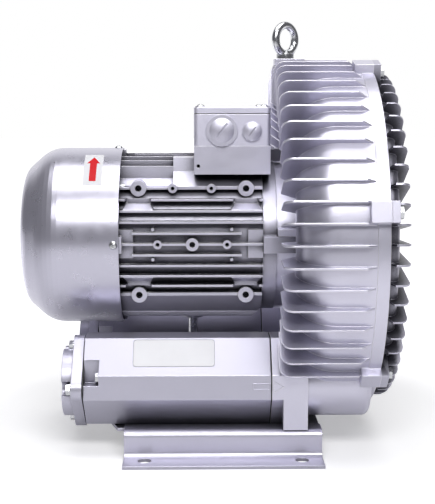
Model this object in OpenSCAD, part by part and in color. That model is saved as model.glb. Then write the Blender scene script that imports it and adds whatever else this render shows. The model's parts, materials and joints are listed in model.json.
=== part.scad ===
// Side channel blower: a ribbed blower stage bolted to a finned motor, with an inlet and an
// outlet silencer lying side by side under the motor. Millimetres, +Z up. The motor axis runs
// along X from the fan cowl to the blower cover. The origin is the centre of the foot holes, on the floor.

/* [Layout] */
// Height of the motor axis above the floor
axis_h = 250; // [246:1:262]
// Drive end of the motor frame, measured from the centre of the foot holes
frame_end = 49; // [46:1:52]
// Sideways place of each silencer and of its port, from the motor axis
silencer_y = 97.5; // [96:0.5:100]
// Height of the silencers and ports above the floor
silencer_z = 86.5; // [86:0.5:90]
// Distance of the port's axis below the middle of its silencer
port_drop = 3; // [2:0.5:4]

/* [Motor frame] */
// Length of the finned motor frame
frame_len = 183; // [180:1:190]
// Outer radius of the stator core and bore radius of the frame
stator_r = 87.5; // [86:0.5:88.5]
// Wall of the frame between the fins
frame_wall = 5; // [4:0.5:6]
// Radius of the circle that the fin tips follow
fin_tip_r = 104.5; // [102:0.5:106]
// Distance between two fins
fin_pitch = 13; // [12.6:0.1:13.2]
// Thickness of a fin
fin_t = 2.6; // [2:0.2:3.4]
// Distance that the two short fins stay back from the ends of the frame
fin_short = 26; // [20:1:30]
// Outer radius of the large side bosses
boss_r = 9.5; // [8.5:0.5:10.5]
// Hole radius of the large side bosses
boss_hole_r = 4; // [3:0.5:5]
// Distance of the faces of the side bosses from the motor axis
boss_y = 79; // [78:0.5:81]
// Distance between the two large bosses along the frame
boss_span = 130; // [124:1:134]
// Thickness of the drive end shield
shield_t = 17; // [16:0.5:20]
// Radius of the drive end shield
shield_r = 95; // [94:0.5:97]

/* [Terminal box] */
// Width of the terminal box along the motor
box_w = 92; // [88:1:96]
// Depth of the terminal box across the motor
box_d = 122; // [116:1:126]
// Height of the box from its seat on the frame to the seam of the lid
box_h = 38; // [37:0.5:44]
// Height of the seat of the box above the motor axis
box_seat = 116; // [114:0.5:120]
// Height of the bottom edge of the frame's pedestal above the motor axis
pedestal_z = 82; // [78:1:84]
// Front face of the box, measured from the motor axis
box_front = 80; // [78:0.5:82]
// Height of the lid
lid_h = 8.2; // [7:0.2:10]
// Wall of the box
box_wall = 4; // [3:0.5:5]
// Radius of the thread of the large cable plug
plug_large_r = 16; // [14:0.5:17]
// Radius of the thread of the small cable plug
plug_small_r = 10; // [8:0.5:11]

/* [Fan and cowl] */
// Outer radius of the fan cowl
cowl_r = 111; // [110:0.5:114]
// Length of the fan cowl
cowl_len = 121.4; // [118:0.2:128]
// Radius of the flat end of the cowl
cowl_end_r = 83; // [80:1:88]
// Length of the sloped part of the cowl
cowl_slope = 32; // [26:1:36]
// Sheet thickness of the cowl
cowl_t = 1.5; // [1.2:0.1:2]
// Length of frame that the cowl covers
cowl_lap = 10.6; // [10:0.2:13]
// Outer radius of the cooling fan
fan_r = 96; // [88:1:98]
// Number of fan blades
fan_blades = 9; // [7:1:11]
// Width of the fan blades along the shaft
fan_blade_w = 38; // [30:1:42]

/* [Blower stage] */
// Distance from the drive end shield to the back face of the impeller chamber
back_depth = 55; // [54:1:58]
// Distance of the side channel's centre line inside the outer radius of the housing
channel_inset = 46; // [45:0.5:47]
// Radius of the round section of the side channel
channel_r = 31; // [29:0.5:31.5]
// Width of the impeller
impeller_w = 36; // [34:1:38]
// Number of impeller blades
impeller_blades = 42; // [36:2:48]
// Thickness of an impeller blade
blade_t = 3; // [2.4:0.2:3.6]
// Gap between the impeller and the walls beside it
side_gap = 0.4; // [0.3:0.1:0.8]
// Gap between the impeller rim and the chamber
rim_gap = 0.5; // [0.4:0.1:1]
// Outer radius of the blower housing between the ribs
housing_r = 213; // [212:0.5:216]
// Depth of the cover's plug inside the housing
plug_t = 24.4; // [23:0.2:25]
// Wall of the casting round the side channel
cast_wall = 8; // [7:0.5:9]
// Height of the ribs above the housing
rib_h = 8; // [6:0.5:9]
// Thickness of a rib
rib_t = 2.2; // [1.8:0.1:2.8]
// Distance that the ribs stand out behind the channel bulge
rib_back = 17; // [14:1:19]
// Step from the housing's outer radius down to the cover's
cover_step = 20; // [18:0.5:21]
// Height of the cover ribs above the cover's outer radius
cover_rib_h = 12; // [9:0.5:14]
// Distance that the cover ribs stand out in front of the cover
cover_rib_out = 11; // [8:0.5:12]
// Number of ribs round the blower
ribs = 56; // [48:4:60]
// Width of the bolt bosses on the rim
ear_w = 24; // [22:0.5:25]
// Thickness of the cover's part of a bolt boss
ear_t = 8.6; // [7:0.2:10]

/* [Silencers and ports] */
// Half width of a silencer
sil_w = 50.5; // [50:0.5:52]
// Half height of a silencer
sil_h = 52.5; // [52:0.5:53]
// Height of the upright side face of a silencer
sil_side = 29; // [26:1:32]
// Width of the flat top and bottom faces of a silencer
sil_top = 35; // [32:1:38]
// Length of a silencer
sil_len = 220; // [214:1:226]
// Wall of a silencer
sil_wall = 5; // [4:0.5:5]
// Thread radius of the pipe ports
port_r = 29.8; // [28.5:0.1:30]
// Radius of the collar round a port
port_collar_r = 42; // [40:0.5:43]
// Depth of the collar in front of its plate
port_collar_t = 12.5; // [10:0.5:15]
// Thickness of the flange plate
port_plate_t = 12.5; // [11:0.5:14]
// Distance of the flange bolts from the port's axis
port_bolt_r = 42; // [42:0.5:43]
// Radius of the perforated tube inside a silencer
core_r = 29; // [27:0.5:29]
// Outer radius of the absorber sleeve
foam_r = 36; // [34:0.5:36]

/* [Base] */
// Length of the base along the motor
base_len = 234; // [224:1:240]
// Width of the base across the motor
base_w = 369; // [364:1:376]
// Height of the two ridges that carry the blower
ridge_h = 35; // [34:0.5:35.5]
// Sheet thickness of the base
base_t = 4; // [3:0.5:4.5]
// Distance of the upright webs from the middle of the base
web_y = 150; // [149:0.5:152]
// Inner edge of the ridges, from the middle of the base
ridge_y = 122; // [119:1:124]
// Distance between the foot holes along the motor
foot_x = 184; // [176:1:190]
// Distance between the foot holes across the motor
foot_y = 329; // [324:1:334]
// Radius of the foot holes
foot_r = 8; // [6.5:0.5:8.5]
// Width of each cast leg along the motor
leg_w = 28.8; // [26:0.2:30]
// Distance of the legs in front of the drive end shield
leg_x = 5; // [4:0.5:7]

/* [Shaft and bearings] */
// Shaft radius at the drive end bearing
shaft_front_r = 20; // [18:0.5:20]
// Shaft radius at the fan end bearing
shaft_rear_r = 15; // [14:0.5:15]
// Outer radius of the drive end bearing
brg_front_r = 40; // [39:0.5:41]
// Outer radius of the fan end bearing
brg_rear_r = 31; // [30.5:0.5:32]
// Width of the drive end bearing
brg_front_w = 18; // [17:0.5:18]
// Width of the fan end bearing
brg_rear_w = 16; // [15:0.5:16]
// Shaft radius under the impeller
shaft_imp_r = 17.5; // [16:0.5:17.5]
// Length of the stator core
core_len = 116; // [108:1:118]
// Gap between rotor and stator
air_gap = 0.6; // [0.4:0.1:1]

/* [Fits and fasteners] */
// Radial clearance of a screw in its hole
screw_gap = 0.2; // [0.1:0.05:0.3]
// Radial clearance of the bearings in their seats and of the shaft in the seal
fit_gap = 0.05; // [0.03:0.01:0.08]
// Radial clearance of pieces that are pressed or clamped together
press_gap = 0.01; // [0.01:0.01:0.03]
// Thickness of the flat gaskets
gasket_t = 1.6; // [1:0.1:2]
// Radius of the cover bolts
cover_bolt_r = 4; // [3:0.5:4.5]
// Radius of the flange bolts
port_bolt_size = 4; // [3:0.5:4]
// Radius of the small cover screws
small_screw_r = 2.5; // [2:0.5:2.5]
// Outer radius of the lifting ring
eye_out_r = 22.5; // [20:0.5:24]
// Inner radius of the lifting ring
eye_in_r = 12.5; // [11:0.5:13]

/* [Hidden] */
$fn = 72;

silver = "#b9bac4";
steel = "#c9cacc";
dark = "#3a3a3e";

// Stations along the motor axis
frame_start = frame_end - frame_len;
housing_x = frame_end + shield_t;
chamber_x = housing_x + back_depth;
cover_x = chamber_x + impeller_w + 2 * side_gap;
joint_x = cover_x + plug_t;
channel_end_x = cover_x + channel_r;
cover_face_x = channel_end_x + cast_wall;
bulge_r = channel_r + cast_wall + 7;
bulge_x = chamber_x - channel_r - cast_wall + bulge_r;
rib_x = chamber_x - channel_r - cast_wall - rib_back;
channel_mid_r = housing_r - channel_inset;
cover_r = housing_r - cover_step;
cover_rib_r = cover_r + cover_rib_h;
ear_bolt_r = housing_r - 1;
ear_out_r = housing_r + 11;
ear_back = 23;
cover_bolt_angles = [15.5, 77, 133, 195, 255, 315];
rib_tip_r = housing_r + rib_h;
chamber_r = channel_mid_r + channel_r;
impeller_r = chamber_r - rim_gap;
rim_in_r = channel_mid_r - channel_r;
frame_r = stator_r + frame_wall;
brg_front_x = frame_end;
fan_shield_t = 12;
brg_rear_x = frame_start - 7;
core_x = frame_start + 36;
rotor_r = stator_r * 0.64;
cowl_x = frame_start + cowl_lap;
cowl_in_r = cowl_r - cowl_t;
box_x = frame_end + 9.3 - box_w;
mid_x = (frame_start + frame_end) / 2;
boss_x = frame_end - 20 - boss_span;
duct_x = housing_x - 8.4;
sil_end = duct_x - gasket_t;
sil_x = sil_end - sil_len;
port_z = silencer_z - port_drop;
leg_start = housing_x + leg_x;
leg_depth = 24;
leg_y = silencer_y + sil_w - leg_depth;
port_x = sil_x - gasket_t;
base_deck = ridge_h - base_t;
post_x = mid_x + 6.5;
post_r = 6;
eye_x = housing_x + 15;
eye_seat = housing_r + 9;
sides = [-1, 1];
flips = [0, 1];
corners = [45, 135, 225, 315];

// A flat outline drawn in Y and height above the axis, drawn out along X
module along_x(x, len) {
    translate([x, 0, axis_h]) rotate([90, 0, 90]) linear_extrude(len) children();
}

// A profile drawn in radius and X, turned about the motor axis
module about_axis(turn = 360, start = 0) {
    translate([0, 0, axis_h]) rotate([90, 0, 90]) rotate([0, 0, start]) rotate_extrude(angle = turn)
        children();
}

// A plain round piece on the motor axis
module disc(x, len, r) {
    translate([x, 0, axis_h]) rotate([0, 90, 0]) cylinder(h = len, r = r);
}

// Copies at even angles round the axis, the first at the bottom, drawn with -Z as outward
module round_axis(n, first = 0) {
    for (k = [0 : n - 1]) at_angle(first + 360 * k / n) children();
}

module at_angle(a) {
    translate([0, 0, axis_h]) rotate([a, 0, 0]) children();
}

// A flat plate that stands on the axis, its outline drawn in X and radius
module radial_plate(t) {
    rotate([90, 0, 0]) linear_extrude(t, center = true) mirror([0, 1]) children();
}

// A rod along X from the given point
module rod_x(x, y, z, len, r) {
    translate([x, y, z]) rotate([0, 90, 0]) cylinder(h = len, r = r);
}

// A rod along Y from the given point
module rod_y(x, y, z, len, r) {
    translate([x, y, z]) rotate([-90, 0, 0]) cylinder(h = len, r = r);
}

// A rectangle with round corners, drawn from exact arcs
module round_rect(w, h, r) {
    square([w - 2 * r, h], center = true);
    square([w, h - 2 * r], center = true);
    for (x = sides, y = sides) translate([x * (w / 2 - r), y * (h / 2 - r)]) circle(r);
}

// A hexagon screw along -Z with its head standing on the plane z = 0
module hex_screw(r, len, washer = true) {
    base = washer ? 0.35 * r : 0;
    if (washer) cylinder(h = base, r = 2.1 * r);
    translate([0, 0, base]) cylinder(h = 1.3 * r, r = 1.85 * r, $fn = 6);
    translate([0, 0, -len]) cylinder(h = len + base, r = r);
}

// A round head screw along -Z with a cross recess
module pan_screw(r, len) {
    difference() {
        union() {
            intersection() {
                translate([0, 0, -1.2 * r]) sphere(2.4 * r);
                cylinder(h = 2 * r, r = 2.05 * r);
            }
            translate([0, 0, -len]) cylinder(h = len + 0.1, r = r);
        }
        for (a = [0, 90]) rotate([0, 0, a]) translate([-1.2 * r, -0.2 * r, 0.5 * r])
            cube([2.4 * r, 0.4 * r, 2 * r]);
    }
}

// The eight sided outline of a silencer, made smaller by a wall
module octagon(wall = 0) {
    w = sil_w - wall;
    h = sil_h - wall;
    side = sil_side / 2 - wall * 0.35;
    top = sil_top / 2 - wall * 0.35;
    polygon([[w, side], [top, h], [-top, h], [-w, side], [-w, -side], [-top, -h], [top, -h], [w, -side]]);
}

// Moves its children to the middle of a silencer, s = -1 in front and 1 behind
module at_silencer(s) {
    translate([0, s * silencer_y, silencer_z]) children();
}

// Moves its children to the axis of a pipe port
module at_port(s) {
    translate([0, s * silencer_y, port_z]) children();
}

// Points of a round bend at p between a and b that starts the distance d from p
function bend(a, p, b, d, n = 5) =
    let (u = p + d * (a - p) / norm(a - p), v = p + d * (b - p) / norm(b - p))
    [for (i = [0 : n]) let (t = i / n) (1 - t) * (1 - t) * u + 2 * t * (1 - t) * p + t * t * v];

// Base

foot_in = base_w / 2;
base_gap = 4;

// Half of the bent sheet, in Y and Z
module base_half() {
    translate([0, base_deck - base_t]) square([ridge_y + base_t, base_t]);
    translate([ridge_y, base_deck - base_t]) square([base_t, 2 * base_t]);
    translate([ridge_y, base_deck]) square([web_y - ridge_y - 8, base_t]);
    translate([web_y - 8, ridge_h - 8]) arc_corner(8, base_t);
    translate([web_y - base_t, 10]) square([base_t, ridge_h - 18]);
    translate([web_y - base_t + 10, 10]) rotate([0, 0, 180]) arc_corner(10, base_t);
    translate([web_y - base_t + 10, 0]) square([foot_in - web_y + base_t - 10, base_t]);
}

// A quarter ring, its centre at the origin
module arc_corner(r, t) {
    difference() {
        intersection() {
            circle(r);
            square(r);
        }
        circle(r - t);
    }
}

module base_frame() {
    color(silver) difference() {
        union() {
            translate([-base_len / 2, 0, 0]) rotate([90, 0, 90]) linear_extrude(base_len) {
                base_half();
                mirror([1, 0]) base_half();
            }
            translate([0, 0, base_deck - base_t]) linear_extrude(base_t) deck_wing();
        }
        for (x = sides, y = sides) translate([x * foot_x / 2, y * foot_y / 2, -1])
            cylinder(h = base_t + 2, r = foot_r);
        for (s = sides, x = leg_bolt_x()) translate([x, s * leg_bolt_y(), 0])
            cylinder(h = ridge_h + 1, r = leg_bolt_r + screw_gap);
        translate([post_x, 0, 0]) cylinder(h = ridge_h + 1, r = post_r + screw_gap);
        disc(housing_x, 200, housing_r + base_gap);
    }
}

// The deck reaches further towards the ports than the ridges, with slanted ends
module deck_wing() {
    x0 = -base_len / 2;
    polygon([
        [x0 + 1, -ridge_y - 1], [x0 - 9, -ridge_y - 1], [x0 - 23, -80],
        [x0 - 23, 80], [x0 - 9, ridge_y + 1], [x0 + 1, ridge_y + 1]
    ]);
}

leg_bolt_r = 4;
function leg_bolt_x() = [leg_start + leg_w * 0.27, leg_start + leg_w * 0.73];
function leg_bolt_y() = web_y - 8 - 1.9 * leg_bolt_r;

module leg_bolts() {
    color(steel) for (s = sides, x = leg_bolt_x()) translate([x, s * leg_bolt_y(), base_deck])
        rotate([180, 0, 0]) hex_screw(leg_bolt_r, 26, false);
}

module support_post() {
    color(steel) difference() {
        translate([post_x, 0, base_deck - base_t - 14])
            cylinder(h = post_top() - base_deck + base_t + 14, r = post_r);
        translate([post_x, 0, base_deck - base_t - 15]) cylinder(h = 4, r = 2);
    }
}

function post_top() = axis_h - fin_tip_r + 6;

module post_nuts() {
    color(steel) for (z = [base_deck, base_deck - base_t - 6]) translate([post_x, 0, z]) difference() {
        cylinder(h = 6, r = 11, $fn = 6);
        translate([0, 0, -1]) cylinder(h = 8, r = post_r + screw_gap / 2);
    }
}

// Blower stage

duct_r = 46;
duct_end = joint_x - 6;
band_w = 14;

// Outline of the housing body in radius and X
module housing_section() {
    difference() {
        union() {
            translate([30, housing_x]) square([shield_r - 33, chamber_x - housing_x - 18]);
            translate([30, chamber_x - 22]) square([housing_r - 70, 22]);
            translate([channel_mid_r, bulge_x]) circle(bulge_r);
            translate([channel_mid_r, bulge_x]) square([housing_r - channel_mid_r, joint_x - bulge_x - 5]);
        }
        translate([-1, chamber_x]) square([chamber_r + 1, joint_x]);
        translate([0, housing_x - 1]) square([shaft_front_r + 3, 200]);
    }
}

// One rib of the housing, in X and radius
module housing_rib() {
    corner = 13;
    difference() {
        union() {
            polygon([
                [bulge_x, channel_mid_r - 17], [rib_x + 23, channel_mid_r - 17], [rib_x, channel_mid_r + 5],
                [rib_x, rib_tip_r - corner], [rib_x + corner, rib_tip_r - corner],
                [rib_x + corner, rib_tip_r],
                [joint_x - 26, rib_tip_r], [joint_x - 14, housing_r - 1], [bulge_x, housing_r - 4]
            ]);
            translate([rib_x + corner, rib_tip_r - corner]) circle(corner);
        }
        translate([bulge_x, channel_mid_r]) circle(bulge_r - 3);
        translate([bulge_x, 0]) square([200, housing_r - 3]);
    }
}

// Copies at the cover bolts, whose angles are from the top towards the near side, -Z as outward
module at_cover_bolts() {
    for (a = cover_bolt_angles) at_angle(180 + a) children();
}

// The band round the open side, one outline with the bosses that take the cover bolts
module rim_band() {
    along_x(joint_x - band_w, band_w) difference() {
        union() {
            circle(housing_r + 1);
            for (a = cover_bolt_angles) rotate(a) translate([-ear_w / 2, housing_r - 10])
                square([ear_w, ear_out_r - housing_r + 10]);
        }
        circle(chamber_r);
    }
}

// A block on the rim that a cover bolt passes through
module rim_block(x, len, r_in) {
    translate([x, -ear_w / 2, -ear_out_r]) cube([len, ear_w, ear_out_r - r_in]);
}

module cover_bolt_hole(x, len) {
    translate([x, 0, -ear_bolt_r]) rotate([0, 90, 0]) cylinder(h = len, r = cover_bolt_r + screw_gap);
}

// The legs stand on the ridges and the ducts lead from the side channel to the silencers
module housing_duct(s) {
    at_silencer(s) {
        translate([duct_x, 0, 0]) rotate([90, 0, 90]) linear_extrude(leg_start + leg_w - duct_x) octagon();
        rotate([0, 90, 0]) cylinder(h = duct_end - 8, r = duct_r);
        translate([duct_end - 8, 0, 0]) rotate([0, 90, 0]) rotate_extrude() {
            square([duct_r - 8, 8]);
            translate([duct_r - 8, 0]) intersection() {
                circle(8);
                square(8);
            }
        }
    }
    y0 = s > 0 ? leg_y : -silencer_y - sil_w;
    translate([leg_start, y0, ridge_h]) cube([leg_w, leg_depth, silencer_z - ridge_h]);
}

// The block that carries the lifting ring
module housing_lug() {
    translate([0, 14, 0]) rotate([90, 0, 0]) linear_extrude(28) polygon([
        [eye_x - 14, eye_seat], [eye_x + 23, eye_seat], [eye_x + 23, housing_r - 6],
        [chamber_x - 20, channel_mid_r - 30],
        [eye_x + 5, channel_mid_r - 22], [eye_x - 14, channel_mid_r + 26]
    ]);
}

module blower_housing() {
    first_rib = 180 / ribs;
    color(silver) difference() {
        union() {
            about_axis() housing_section();
            for (k = [0 : ribs - 1]) {
                a = first_rib + 360 * k / ribs;
                if (a > 44 && a < 316) at_angle(a) radial_plate(rib_t) housing_rib();
            }
            rim_band();
            at_cover_bolts() rim_block(joint_x - ear_back, ear_back - band_w / 2, housing_r - 10);
            for (s = sides) intersection() {
                housing_duct(s);
                outside_chamber();
            }
            translate([0, 0, axis_h]) housing_lug();
            for (s = sides) translate([housing_x, s * (shield_r + 4) - 12, axis_h + 10.5])
                cube([chamber_x - housing_x - 20, 24, 8]);
        }
        about_axis(310, -65) translate([channel_mid_r, chamber_x]) intersection() {
            circle(channel_r - 0.6);
            translate([-channel_r, -channel_r]) square([2 * channel_r, channel_r + 1]);
        }
        for (s = sides) at_silencer(s) {
            translate([duct_x - 1, 0, 0]) rotate([90, 0, 90]) linear_extrude(24) octagon(sil_wall + 1);
            for (e = sides) rod_x(duct_x - 1, e * tie_y(), tie_z, 40, tie_r + screw_gap);
        }
        for (s = sides) at_port(s) rod_x(duct_x, 0, 0, chamber_x - 6 - duct_x, core_r);
        disc(housing_x - 1, shield_spigot_t + 1.2, shield_spigot_r + fit_gap);
        disc(seal_x, seal_w + 0.1, seal_r);
        at_cover_bolts() cover_bolt_hole(joint_x - 20, 21);
        for (a = corners) at_angle(a) rod_x(housing_x - 1, 0, -shield_bolt_place, 21, 4 + screw_gap);
        for (s = sides, x = leg_bolt_x()) translate([x, s * leg_bolt_y(), ridge_h - 1])
            cylinder(h = 26, r = leg_bolt_r + screw_gap);
        translate([eye_x, 0, axis_h + eye_seat - 22]) cylinder(h = 23, r = 5 + screw_gap);
    }
}

// Everything below the ribs that isn't inside the impeller chamber
module outside_chamber() {
    translate([0, 0, axis_h]) rotate([90, 0, 90]) difference() {
        translate([-300, -300, duct_x]) cube([600, 600, 200]);
        translate([0, 0, chamber_x - 4]) cylinder(h = 200, r = chamber_r + 4);
        translate([0, 0, -10]) cylinder(h = 300, r = shield_r + 3);
    }
}

cover_plug_gap = 0.3;
seal_ring_in = chamber_r - 3.6;
cover_hub_r = 42;

// Outline of the cover in radius and X
module cover_section() {
    difference() {
        union() {
            translate([0, cover_x]) square([chamber_r - cover_plug_gap, 12]);
            translate([channel_mid_r - channel_r - cast_wall, cover_x])
                square([chamber_r - cover_plug_gap - channel_mid_r + channel_r + cast_wall, plug_t]);
            intersection() {
                translate([channel_mid_r, cover_x]) circle(channel_r + cast_wall);
                translate([0, cover_x]) square([cover_r, 100]);
            }
            translate([channel_mid_r, joint_x])
                square([cover_r - channel_mid_r, cover_face_x - joint_x - 9]);
            translate([channel_mid_r, cover_face_x - 9]) square([cover_r - channel_mid_r - 9, 9]);
            translate([cover_r - 9, cover_face_x - 9]) circle(9);
            translate([0, cover_x]) square([cover_hub_r, joint_x - cover_x + 6]);
        }
        translate([-1, cover_x - 1]) square([cover_hub_r - 7, joint_x - cover_x + 1]);
        translate([seal_ring_in, joint_x - 6]) square([10, 4]);
    }
}

// One rib of the cover, in X and radius
module cover_rib(inner_r) {
    corner = 10;
    out_x = cover_face_x + cover_rib_out;
    difference() {
        union() {
            polygon([
                [cover_x + 8, inner_r], [joint_x + 4, inner_r], [out_x - 2, channel_mid_r - 46],
                [out_x, channel_mid_r - 40],
                [out_x, cover_rib_r - corner], [out_x - corner, cover_rib_r - corner],
                [out_x - corner, cover_rib_r], [joint_x + 8, cover_rib_r], [joint_x + 0.3, cover_r - 2],
                [joint_x + 0.3, channel_mid_r], [cover_x + 8, channel_mid_r]
            ]);
            translate([out_x - corner, cover_rib_r - corner]) circle(corner);
        }
        translate([cover_x, channel_mid_r]) circle(channel_r + 4);
    }
}

module blower_cover() {
    color(silver) difference() {
        union() {
            about_axis() cover_section();
            for (k = [0 : ribs - 1]) at_angle((k + 0.5) * 360 / ribs) radial_plate(rib_t)
                cover_rib(k % 4 == 1 ? cover_hub_r - 3 : channel_mid_r - channel_r - 14);
            at_cover_bolts() rim_block(joint_x, ear_t, cover_r - 8);
        }
        about_axis(310, -65) translate([channel_mid_r, cover_x]) intersection() {
            circle(channel_r - 1.5);
            translate([-channel_r, -0.01]) square([2 * channel_r, channel_r + 0.01]);
        }
        at_cover_bolts() cover_bolt_hole(joint_x - 1, ear_t + 2);
        at_cover_bolts() translate([joint_x + ear_t, 0, -ear_bolt_r]) rotate([0, 90, 0])
            cylinder(h = 40, r = 1.85 * cover_bolt_r + 1.2);
    }
}

module cover_seal() {
    r = (chamber_r - seal_ring_in) / 2 - 0.05;
    color(dark) about_axis() translate([seal_ring_in + r + 0.05, joint_x - 4]) circle(r, $fn = 24);
}

module cover_bolts() {
    color(steel) at_cover_bolts() translate([joint_x + ear_t, 0, -ear_bolt_r]) rotate([0, 90, 0])
        hex_screw(cover_bolt_r, ear_t + 18, false);
}

eye_turn = 43;

module eye_bolt() {
    ring_r = (eye_out_r + eye_in_r) / 2;
    wire_r = (eye_out_r - eye_in_r) / 2;
    color(steel) translate([eye_x, 0, axis_h + eye_seat]) rotate([0, 0, eye_turn]) {
        cylinder(h = 6, r = 11);
        translate([0, 0, 5]) cylinder(h = 5, r1 = 9, r2 = 6.5);
        translate([0, 0, -20]) cylinder(h = 21, r = 5);
        translate([0, 0, 1.5 + eye_out_r]) rotate([90, 0, 0]) rotate_extrude() translate([ring_r, 0])
            circle(wire_r);
    }
}

// Silencers and ports

tie_r = 3.3;
tie_z = 10;
notch_len = 18;
notch_low = 2.5;
notch_high = 30.5;
notch_deep = 16.5;
end_wall = 12;

function tie_y() = sil_w - sil_wall - 4.6;

// The room on both sides of a silencer's end where the heads of its tie bolts sit
module notch_pair(grow = 0) {
    deep = notch_deep + grow;
    for (m = flips) mirror([m, 0]) translate([sil_w - deep, notch_low - grow])
        square([deep + 1, notch_high - notch_low + 2 * grow]);
}

module silencer(s) {
    color(silver) difference() {
        at_silencer(s) difference() {
            sil_bar(sil_x, sil_len) octagon();
            sil_bar(sil_x + end_wall, sil_len) difference() {
                octagon(sil_wall);
                notch_pair(4);
            }
            sil_bar(sil_x + notch_len + 4, sil_len) octagon(sil_wall);
            sil_bar(sil_x - 1, notch_len + 1) notch_pair();
            for (e = sides) rod_x(sil_x - 1, e * tie_y(), tie_z, sil_len + 2, tie_r + screw_gap);
        }
        at_port(s) {
            rod_x(sil_x - 1, 0, 0, end_wall + 2, core_r);
            for (a = [0 : 90 : 270]) rotate([a, 0, 0])
                rod_x(sil_x - 1, 0, -port_bolt_r, 11, port_bolt_size + screw_gap);
        }
    }
}

// A flat outline in Y and Z drawn out along X
module sil_bar(x, len) {
    translate([x, 0, 0]) rotate([90, 0, 90]) linear_extrude(len) children();
}

module front_silencer() {
    silencer(-1);
}

module rear_silencer() {
    silencer(1);
}

module silencer_gaskets() {
    color(dark) for (s = sides) at_silencer(s) sil_bar(sil_end, gasket_t) difference() {
        octagon(1);
        octagon(sil_wall + 1);
    }
}

module silencer_tie_bolts() {
    color(steel) for (s = sides, e = sides) at_silencer(s)
        translate([sil_x + notch_len, e * tie_y(), tie_z])
        rotate([0, -90, 0]) hex_screw(tie_r, duct_x + 34 - sil_x - notch_len, false);
}

// A perforated tube between the end wall and the duct
module core_tube(s) {
    color(steel) at_port(s) difference() {
        rod_x(sil_x + 4, 0, 0, duct_x + 25 - sil_x - 4, core_r - press_gap);
        rod_x(sil_x, 0, 0, sil_len + 60, core_r - 1.4);
        for (k = [0 : 6], a = [0 : 60 : 300]) rotate([a + 30 * (k % 2), 0, 0])
            translate([sil_x + 40 + k * 24, 0, core_r - 5]) cylinder(h = 8, r = 5);
    }
}

module front_core_tube() {
    core_tube(-1);
}

module rear_core_tube() {
    core_tube(1);
}

module absorber(s) {
    color("#6d6a5e") at_port(s) difference() {
        rod_x(sil_x + notch_len + 4, 0, 0, sil_len - notch_len - 4, foam_r);
        rod_x(sil_x, 0, 0, sil_len + 8, core_r + 0.1);
    }
}

module front_absorber() {
    absorber(-1);
}

module rear_absorber() {
    absorber(1);
}

// A square plate that stands on one corner, its corners round
module flange_outline(grow = 0) {
    lobe = 14 + grow;
    w = sqrt(2) * port_bolt_r + 2 * lobe;
    rotate([0, 0, 45]) round_rect(w, w, lobe);
}

module port_flange(s) {
    color(silver) at_port(s) difference() {
        union() {
            sil_bar(port_x - port_plate_t, port_plate_t) flange_outline();
            rod_x(port_x - port_plate_t - port_collar_t, 0, 0, port_collar_t + 1, port_collar_r);
        }
        rod_x(port_x - 100, 0, 0, 101, port_r);
        for (a = [0 : 90 : 270]) rotate([a, 0, 0]) {
            rod_x(port_x - port_plate_t - 30, 0, -port_bolt_r, 30, 2.1 * port_bolt_size + 0.6);
            rod_x(port_x - 50, 0, -port_bolt_r, 51, port_bolt_size + screw_gap);
        }
    }
}

module front_port_flange() {
    port_flange(-1);
}

module rear_port_flange() {
    port_flange(1);
}

module port_gaskets() {
    color(dark) for (s = sides) at_port(s) sil_bar(port_x, gasket_t) difference() {
        flange_outline(-2);
        circle(port_r);
        for (a = [0 : 90 : 270]) rotate([0, 0, a]) translate([port_bolt_r, 0])
            circle(port_bolt_size + screw_gap);
    }
}

module port_bolts() {
    color(steel) for (s = sides) at_port(s) for (a = [0 : 90 : 270]) rotate([a, 0, 0])
        translate([port_x - port_plate_t, 0, -port_bolt_r]) rotate([0, -90, 0])
            hex_screw(port_bolt_size, port_plate_t + gasket_t + 8);
}

// Drive end of the motor

shield_spigot_r = 68;
shield_spigot_t = 5;
shield_bolt_place = stator_r - 8;
seal_w = 8;
seal_r = shaft_front_r + 8;
seal_x = chamber_x - seal_w - 5;
shaft_seal_r = shaft_front_r - 1;
cap_screw_r = brg_front_r + 5;
lug_angles = [90, 270];

// Outline of the drive end shield in radius and X
module shield_section() {
    in_r = brg_front_r - 5;
    difference() {
        union() {
            translate([in_r, frame_end]) square([shield_r - in_r, shield_t]);
            translate([stator_r - 15, frame_end - 5]) square([15 - fit_gap, 6]);
            translate([in_r, housing_x - 1]) square([shield_spigot_r - in_r, shield_spigot_t + 1]);
            translate([in_r, frame_end - 8]) square([15, 9]);
        }
        translate([0, frame_end - 9]) square([brg_front_r + fit_gap, brg_front_w + 9]);
    }
}

module drive_end_shield() {
    lug_r = shield_r + 15;
    color(silver) difference() {
        union() {
            about_axis() shield_section();
            for (a = lug_angles) at_angle(a) translate([frame_end, -10, -lug_r]) cube([42.5, 20, 16]);
            at_angle(180) translate([box_x + box_w + 1, -12, -lug_r]) cube([18, 24, 16]);
        }
        for (a = corners) at_angle(a) rod_x(frame_end - 20, 0, -shield_bolt_place, 60, 4 + screw_gap);
        for (a = [0 : 120 : 240]) at_angle(a) rod_x(frame_end - 20, 0, -cap_screw_r, 30, 2.5 + screw_gap);
    }
}

module shield_bolts() {
    color(steel) for (a = corners) at_angle(a) translate([frame_end - 5, 0, -shield_bolt_place])
        rotate([0, -90, 0]) hex_screw(4, shield_t + 22, false);
}

// The ring that holds the drive end bearing in its seat
module front_bearing_cap() {
    color(silver) difference() {
        union() {
            disc(frame_end - 14, 6, brg_front_r + 9);
            disc(frame_end - 9, 9, brg_front_r - fit_gap);
        }
        disc(frame_end - 20, 40, shaft_mid_r + 1.5);
        disc(frame_end - 5, 10, brg_front_r - 4);
        for (a = [0 : 120 : 240]) at_angle(a) rod_x(frame_end - 20, 0, -cap_screw_r, 30, 2.5 + screw_gap);
    }
}

module cap_screws() {
    color(steel) for (a = [0 : 120 : 240]) at_angle(a) translate([frame_end - 14, 0, -cap_screw_r])
        rotate([0, -90, 0]) hex_screw(2.5, 16, false);
}

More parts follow.
